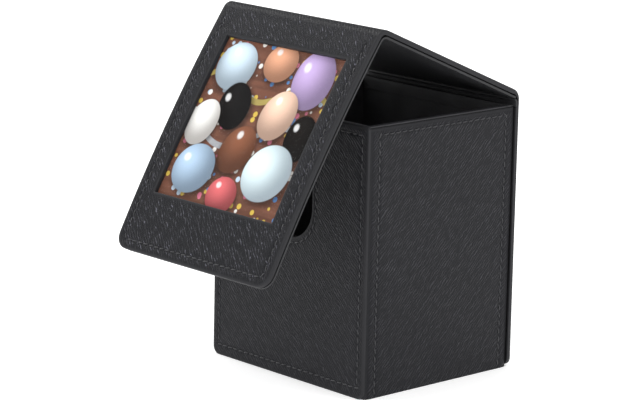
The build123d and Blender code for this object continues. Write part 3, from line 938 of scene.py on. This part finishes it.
FINISHES = {
    # The cover leather gets the full painted glint specks, the front and side leather only a trace.
    "cover leather": lambda: saffiano("hatched_cover_leather"),
    "front leather": lambda: saffiano("hatched_front_leather", rubbed_and_glinting=0.12),
    "side leather": lambda: saffiano("hatched_side_leather", 45.0, rubbed_and_glinting=0.12),
    "turned leather": lambda: smooth_leather("turned_leather", setting("leather").edge),
    "lid lining": lambda: smooth_leather("cover_inner_leather", (0.022, 0.022, 0.024)),
    "box lining": lambda: smooth_leather("box_lining", (0.036, 0.036, 0.038), 0.6),
    "black board": lambda: card("black_board", (0.010, 0.010, 0.010), (0.020, 0.020, 0.020)),
    "thread": lambda: sewing_thread("black_thread"),
    "film": lambda: clear_film("clear_film"),
    "print": lambda: party_picture("instant_print"),
    "steel": lambda: plain_steel("catch_steel"),
}
made_finishes = {}


def finish(name):
    """A material by its plain name, made the first time it is asked for."""
    if name not in made_finishes:
        made_finishes[name] = FINISHES[name]()
    return made_finishes[name]


def coat_node(node, material):
    """Give a frame node that stays in view its material."""
    mesh = frame["nodes"][node].data
    mesh.materials.clear()
    mesh.materials.append(material)


# ---------------------------------------------------------------- operators


class MakeFrontPanel(bpy.types.Operator):
    """Front panel of the box, with its thumb notch"""

    bl_idname = "print_box.front_panel"
    bl_label = "Front Panel"

    def execute(self, context):
        walls = setting("walls")
        low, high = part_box("front_leather")
        surface = Flat((0, low.y, 0), (1, 0, 0), (0, 0, 1))
        panel = Panel(surface, (low.x, high.x), (low.z, high.z), walls.leather)
        for side in (-1, 1):
            panel.round_corner(side, -1, walls.corner)
            panel.round_corner(side, 1, walls.top_corner)
        panel.opening = Notch(walls.notch_radius, walls.notch_height, walls.notch_reach)
        panel.wall_depth = high.y - low.y
        panel.seams = Seams(surface, threads_of("front_stitching"))
        piece = panel.build("front_panel", closed_below=False)
        dress(piece, finish("front leather"), "black_leather", "front_leather", body="box")
        return {"FINISHED"}


class MakeSidePanels(bpy.types.Operator):
    """Padded side panels of the box"""

    bl_idname = "print_box.side_panels"
    bl_label = "Side Panels"

    def execute(self, context):
        leather = setting("leather")
        for side, name in ((1, "right"), (-1, "left")):
            low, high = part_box(f"{name}_leather")
            face_x = high.x if side > 0 else low.x
            surface = Flat((face_x, 0, 0), (0, side, 0), (0, 0, 1))
            u_span = tuple(sorted((low.y * side, high.y * side)))
            panel = Panel(surface, u_span, (low.z, high.z), setting("walls").leather,
                          free="left right high", roll=(leather.side_roll, leather.side_roll_depth))
            panel.seams = Seams(surface, threads_of(f"{name}_stitching"))
            panel.flow = lambda u, v, side=side: (u * side, v)
            piece = panel.build(f"{name}_panel")
            dress(piece, finish("side leather"), "black_leather", f"{name}_leather", body="box")
        return {"FINISHED"}


class MakeBackPanel(bpy.types.Operator):
    """Back panel, where the cover is fixed to the box"""

    bl_idname = "print_box.back_panel"
    bl_label = "Back Panel"

    def execute(self, context):
        cover = Cover()
        half = cover.half_width
        panel = Panel(cover.back_panel, (-half, half), (cover.foot, cover.fold_height),
                      setting("cover").leather, free="left right low")
        for side in (-1, 1):
            panel.round_corner(side, -1, setting("walls").corner)
        panel.seams = Seams(cover.back_panel, threads_of("back_stitching"))
        size = setting("cover")
        board_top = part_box("back_cover_board")[1].z
        panel.hem = lambda u, v: size.back_hem if v < board_top else size.leather
        piece = panel.build("back_panel", closed_below=False)
        dress(piece, finish("cover leather"), "black_leather", "back_cover_leather", body="box")
        return {"FINISHED"}


class MakeFolds(bpy.types.Operator):
    """The two folds of the cover, and the lining under the ridge"""

    bl_idname = "print_box.folds"
    bl_label = "Folds"

    def execute(self, context):
        cover = Cover()
        size = setting("cover")
        lid_run = cover.fold_height + cover.back_fold.span
        ridge_run = lid_run + cover.lid_end - cover.lid_start
        hems = {
            "back_fold": (size.leather, size.lid_hem),
            "ridge_fold": (size.lid_hem, size.flap_hem),
            "ridge_inner_fold": (size.leather, size.leather),
        }
        folds = (
            ("back_fold", cover.back_fold, "back_fold_leather", "box", "lid", "cover leather",
             "black_leather", 1, lambda u, v: (-u, cover.fold_height + v)),
            ("ridge_fold", cover.ridge_fold, "ridge_fold_leather", "lid", "flap", "cover leather",
             "black_leather", 1, lambda u, v: (-u, ridge_run + v)),
            ("ridge_inner_fold", cover.ridge_lining, "ridge_fold_lining", "lid", "flap", "lid lining",
             "cover_lining", -1, lambda u, v: (-u, v)),
        )
        for name, surface, node, first_body, last_body, coat, slot, facing, flow in folds:
            level = 0.0 if facing > 0 else -size.leather
            panel = Panel(surface, (-cover.half_width, cover.half_width), (0.0, surface.span), size.leather,
                          free="left right", level=level, facing=facing, ripple=False)
            panel.flow = flow
            # The folds are smoothed and take a little of the edges' painted highlight.
            panel.rub_and_highlight = size.fold_rub_and_highlight
            first_hem, last_hem = hems[name]
            panel.hem = lambda u, v, span=surface.span, first=first_hem, last=last_hem: (
                first + (last - first) * v / span)
            piece = panel.build(name, cell=surface.span / FOLD_ROWS, closed_below=False)
            start = surface.point(0, 0, -size.leather)
            end = surface.point(0, surface.span, -size.leather)
            dress(piece, finish(coat), slot, node)
            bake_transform(piece)
        self.line_back_fold(cover, size)
        return {"FINISHED"}

    def line_back_fold(self, cover, size):
        """The lining inside the back fold, from the back panel's board to the lid's lining."""
        piece = softened_copy("back_fold_lining", "back_inner_fold", setting("walls").binding_round)
        dress(piece, finish("lid lining"), "cover_lining", "back_fold_lining")
        end = cover.lid.point(0, cover.lid_lining_end, -size.lid_thickness + size.leather / 2)
        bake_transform(piece)


class MakeLid(bpy.types.Operator):
    """The lid's outer and inner leather"""

    bl_idname = "print_box.lid"
    bl_label = "Lid"

    def execute(self, context):
        cover = Cover()
        size = setting("cover")
        across = (-cover.half_width, cover.half_width)
        ridge_run = cover.fold_height + cover.back_fold.span + cover.lid_end
        outer = Panel(cover.lid, across, (cover.lid_start, cover.lid_end), size.leather, free="left right")
        outer.seams = Seams(cover.lid, threads_of("lid_stitching"))
        outer.flow = lambda u, v: (-u, ridge_run - v)
        outer.hem = lambda u, v: size.lid_hem
        piece = outer.build("lid_panel", closed_below=False)
        dress(piece, finish("cover leather"), "black_leather", "lid_leather", body="lid")
        inner = Panel(cover.lid, across, (cover.lid_lining_start, cover.lid_lining_end), size.leather,
                      free="left right high", level=-size.lid_thickness, facing=-1)
        dress(inner.build("lid_inner"), finish("lid lining"), "cover_lining", "lid_lining", body="lid")
        return {"FINISHED"}


class MakeFlap(bpy.types.Operator):
    """The flap's outer leather with its window, and its inner leather"""

    bl_idname = "print_box.flap"
    bl_label = "Flap"

    def execute(self, context):
        cover = Cover()
        size = setting("cover")
        across = (-cover.half_width, cover.half_width)
        ridge_run = cover.fold_height + cover.back_fold.span + cover.lid_end - cover.lid_start
        flap_run = ridge_run + cover.ridge_fold.span + cover.flap_start
        outer = Panel(cover.flap, across, (-size.flap_length, cover.flap_start), size.leather,
                      free="left right low")
        for side in (-1, 1):
            outer.round_corner(side, -1, size.flap_corner)
        half = size.window_width / 2 - size.window_lip
        top = -size.window_top - size.window_lip
        foot = -size.window_top - size.window_height + size.window_lip
        outer.opening = Window(-half, half, foot, top)
        outer.wall_depth = size.film_depth
        outer.seams = Seams(cover.flap, threads_of("flap_stitching"))
        outer.flow = lambda u, v: (-u, flap_run - v)
        outer.hem = lambda u, v: size.flap_hem
        piece = outer.build("flap_panel", closed_below=False)
        dress(piece, finish("cover leather"), "black_leather", "flap_leather", body="flap")
        inner = Panel(cover.flap, across, (-size.flap_length, cover.flap_lining_start), size.leather,
                      free="left right low", level=-size.flap_thickness, facing=-1)
        for side in (-1, 1):
            inner.round_corner(side, -1, size.flap_corner)
        piece = inner.build("flap_inner", cell=2 * setting("leather").cell, closed_below=False)
        dress(piece, finish("lid lining"), "cover_lining", "flap_lining", body="flap")
        return {"FINISHED"}


class MakeRimAndBase(bpy.types.Operator):
    """Binding round the rim, and the base leather"""

    bl_idname = "print_box.rim_and_base"
    bl_label = "Rim and Base"

    def execute(self, context):
        rounding = setting("walls").binding_round
        skirt_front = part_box("back_lining")[0].y - 0.5 * MM
        parts = (
            ("rim_binding", "rim_edge", "turned leather", -1),
            ("rim_binding", "rim_back", "box lining", 1),
            ("base_leather", "base_panel", "turned leather", 0),
        )
        for node, name, coat, side in parts:
            piece = softened_copy(node, name, rounding, cut_y=skirt_front if side else None, keep=side)
            dress(piece, finish(coat), "black_leather", node, body="box")
        return {"FINISHED"}


class FinishInside(bpy.types.Operator):
    """Finish the boards, linings and catch that the frame gives"""

    bl_idname = "print_box.inside"
    bl_label = "Inside"

    def execute(self, context):
        for wall in ("front", "back", "left", "right", "bottom"):
            coat_node(f"{wall}_lining", finish("box lining"))
            coat_node(f"{wall}_board", finish("black board"))
        for node in ("back_cover_board", "lid_board", "flap_frame_board", "pocket_spacer"):
            coat_node(node, finish("black board"))
        for node in ("flap_magnets", "keeper_plates"):
            coat_node(node, finish("steel"))
        return {"FINISHED"}


class SewPanels(bpy.types.Operator):
    """Threads of every row of stitching"""

    bl_idname = "print_box.stitching"
    bl_label = "Stitching"

    def execute(self, context):
        cover = Cover()
        front_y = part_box("front_leather")[0].y
        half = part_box("right_leather")[1].x
        rows_of = (
            ("front_stitching", "front_stitches", Flat((0, front_y, 0), (1, 0, 0), (0, 0, 1)), "box"),
            ("right_stitching", "right_stitches", Flat((half, 0, 0), (0, 1, 0), (0, 0, 1)), "box"),
            ("left_stitching", "left_stitches", Flat((-half, 0, 0), (0, -1, 0), (0, 0, 1)), "box"),
            ("back_stitching", "back_stitches", cover.back_panel, "box"),
            ("lid_stitching", "lid_stitches", cover.lid, "lid"),
            ("flap_stitching", "flap_stitches", cover.flap, "flap"),
        )
        for node, name, surface, body in rows_of:
            piece = self.sew(name, surface, threads_of(node))
            dress(piece, finish("thread"), "black_thread", node, body=body)
        return {"FINISHED"}

    def sew(self, name, surface, threads):
        """One row: each thread arches up in the middle and goes down into its holes."""
        size = setting("thread")
        depth = setting("leather").furrow_depth
        row = bmesh.new()
        place = row.verts.layers.float_vector.new("surface")
        for thread in threads:
            u, v = surface.local(thread.middle)
            outward = surface.outward_at(u, v)
            middle = surface.point(u, v, size.lift - depth / 2)
            along = Matrix.Rotation(size.slant, 3, outward) @ thread.along
            beside = outward.cross(along)
            strand = bmesh.ops.create_uvsphere(row, u_segments=8, v_segments=7, radius=1.0)["verts"]
            for vertex in strand:
                x, y, z = vertex.co
                ring = hypot(x, y)
                fuller = ring ** THREAD_FULLNESS / ring if ring > 1e-6 else 0.0
                turn_share = 0.5 + 0.5 * x
                vertex[place] = (0, z * size.length / 2, turn_share)
                vertex.co = (middle + along * (z * size.length / 2) + beside * (x * fuller * size.width / 2)
                             + outward * (y * fuller * size.width / 2 - size.sink * z ** 4))
        return finish_mesh(row, name, crease=80)


class MakePrint(bpy.types.Operator):
    """The print in its pocket, and the clear film over it"""

    bl_idname = "print_box.print"
    bl_label = "Print"

    def execute(self, context):
        cover = Cover()
        size = setting("print")
        window = setting("cover")
        middle = -window.window_top - window.window_height / 2
        across = (-size.width / 2, size.width / 2)
        card_panel = Panel(cover.flap, across, (-size.top - size.height, -size.top), size.thickness,
                           free="", level=-size.depth, ripple=False)
        card_panel.flow = lambda u, v: (u, v - middle)
        piece = card_panel.build("instant_print", cell=3 * MM, closed_below=False)
        dress(piece, finish("print"), "photo_print", "photo_print", body="print")
        coat_node("window_film", finish("film"))
        return {"FINISHED"}


# Place and width, in metres, of each lamp of the stage, and the point that the lamps look at
LAMPS = {
    "key": ((-1.37, -0.12, 1.31), 0.5),
    "front": ((0.25, -1.6, 1.1), 1.0),
    "fill": ((1.3, 0.8, 0.8), 0.7),
}
LAMP_AIM = Vector((0, 0, 0.06))


class SetStage(bpy.types.Operator):
    """Pale floor, soft lamps, white surroundings and the camera"""

    bl_idname = "print_box.stage"
    bl_label = "Stage"

    def execute(self, context):
        studio = setting("studio")
        scene = context.scene
        scene.view_settings.view_transform = "Standard"
        self.lay_floor(studio)
        self.light_surroundings(scene, studio)
        for name, (place, width) in LAMPS.items():
            self.hang_lamp(f"{name}_lamp", place, width, getattr(studio, name))
        self.place_camera(scene, studio)
        return {"FINISHED"}

    def lay_floor(self, studio):
        floor = bmesh.new()
        bmesh.ops.create_circle(floor, cap_ends=True, segments=96, radius=5.0)
        piece = finish_mesh(floor, "studio_floor")
        shader = Shader("studio_floor")
        place = shader.object_place()
        paper = shader.noise(place, 0.02, 2.0)
        seen = shader.seen_directly()
        tone = shader.mix(seen, rgba(studio.floor), (0.985, 0.985, 0.985, 1.0))
        shader.feed(shader.finish, Base_Color=tone, Specular_IOR_Level=0.1,
                    Emission_Color=(1, 1, 1, 1), Emission_Strength=shader.math("MULTIPLY", seen, studio.glow),
                    Roughness=shader.spread(paper, 0.3, 0.7, 0.8, 0.9))
        piece.data.materials.append(shader.material)

    def light_surroundings(self, scene, studio):
        """Even light on the object, and a white backdrop that is dimmer overhead in reflections."""
        world = scene.world or bpy.data.worlds.new("studio")
        scene.world = world
        world.use_nodes = True
        sky = NodeTree(world.node_tree)
        direction = sky.add("ShaderNodeTexCoord")
        split = sky.add("ShaderNodeSeparateXYZ", Vector=direction.outputs["Generated"])
        overhead = sky.spread(split.outputs[2], 0.12, 0.5, 1.0, studio.ceiling, smooth=True)
        path = sky.add("ShaderNodeLightPath")
        backdrop = sky.math("MAXIMUM", overhead, path.outputs["Is Camera Ray"])
        ambient = sky.add("ShaderNodeBackground", Color=(1, 1, 1, 1), Strength=studio.ambient)
        white = sky.add("ShaderNodeBackground", Color=(1, 1, 1, 1), Strength=backdrop)
        blend = sky.add("ShaderNodeMixShader", _0=sky.seen_directly(), _1=ambient.outputs[0],
                        _2=white.outputs[0])
        sky.add("ShaderNodeOutputWorld", Surface=blend.outputs[0])

    def hang_lamp(self, name, place, size, power):
        lamp = bpy.data.lights.new(name, "AREA")
        lamp.size = size
        lamp.energy = power
        holder = bpy.data.objects.new(name, lamp)
        bpy.context.scene.collection.objects.link(holder)
        holder.location = place
        aim = LAMP_AIM - Vector(place)
        holder.rotation_mode = "QUATERNION"
        holder.rotation_quaternion = aim.to_track_quat("-Z", "Y")

    def place_camera(self, scene, studio):
        camera = bpy.data.objects.new("camera", bpy.data.cameras.new("camera"))
        scene.collection.objects.link(camera)
        azimuth = studio.azimuth
        elevation = studio.elevation
        backward = Vector((sin(azimuth) * cos(elevation), -cos(azimuth) * cos(elevation), sin(elevation)))
        level_right = Vector((cos(azimuth), sin(azimuth), 0))
        level_up = backward.cross(level_right)
        right = level_right * cos(studio.roll) + level_up * sin(studio.roll)
        up = level_up * cos(studio.roll) - level_right * sin(studio.roll)
        turn_matrix = Matrix((right, up, backward)).transposed()
        camera.matrix_world = Matrix.Translation(Vector(studio.place)) @ turn_matrix.to_4x4()
        camera.data.sensor_width = 36.0
        camera.data.lens = studio.lens
        camera.data.clip_start = 0.01
        scene.camera = camera


OPERATORS = (
    MakeFrontPanel,
    MakeSidePanels,
    MakeBackPanel,
    MakeFolds,
    MakeLid,
    MakeFlap,
    MakeRimAndBase,
    FinishInside,
    SewPanels,
    MakePrint,
    SetStage,
)


class PrintBoxPanel(bpy.types.Panel):
    """Sizes, colours and pieces of the photo storage box"""

    bl_idname = "VIEW3D_PT_print_box"
    bl_label = "Photo Storage Box"
    bl_space_type = "VIEW_3D"
    bl_region_type = "UI"
    bl_category = "Photo Box"

    def draw(self, context):
        for operator in OPERATORS:
            self.layout.operator(operator.bl_idname)
        for group, kind in SETTINGS.items():
            box = self.layout.box()
            box.label(text=group.title())
            for field in kind.__annotations__:
                box.prop(setting(group), field)


def register():
    for group, kind in SETTINGS.items():
        bpy.utils.register_class(kind)
        setattr(bpy.types.Scene, f"print_box_{group}", PointerProperty(type=kind))
    for kind in (*OPERATORS, PrintBoxPanel):
        bpy.utils.register_class(kind)


def unregister():
    for kind in (PrintBoxPanel, *reversed(OPERATORS)):
        bpy.utils.unregister_class(kind)
    for group, kind in SETTINGS.items():
        delattr(bpy.types.Scene, f"print_box_{group}")
        bpy.utils.unregister_class(kind)


def main():
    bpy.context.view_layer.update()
    register()
    for operator in OPERATORS:
        group, name = operator.bl_idname.split(".")
        getattr(getattr(bpy.ops, group), name)()


if __name__ == "__main__":
    main()
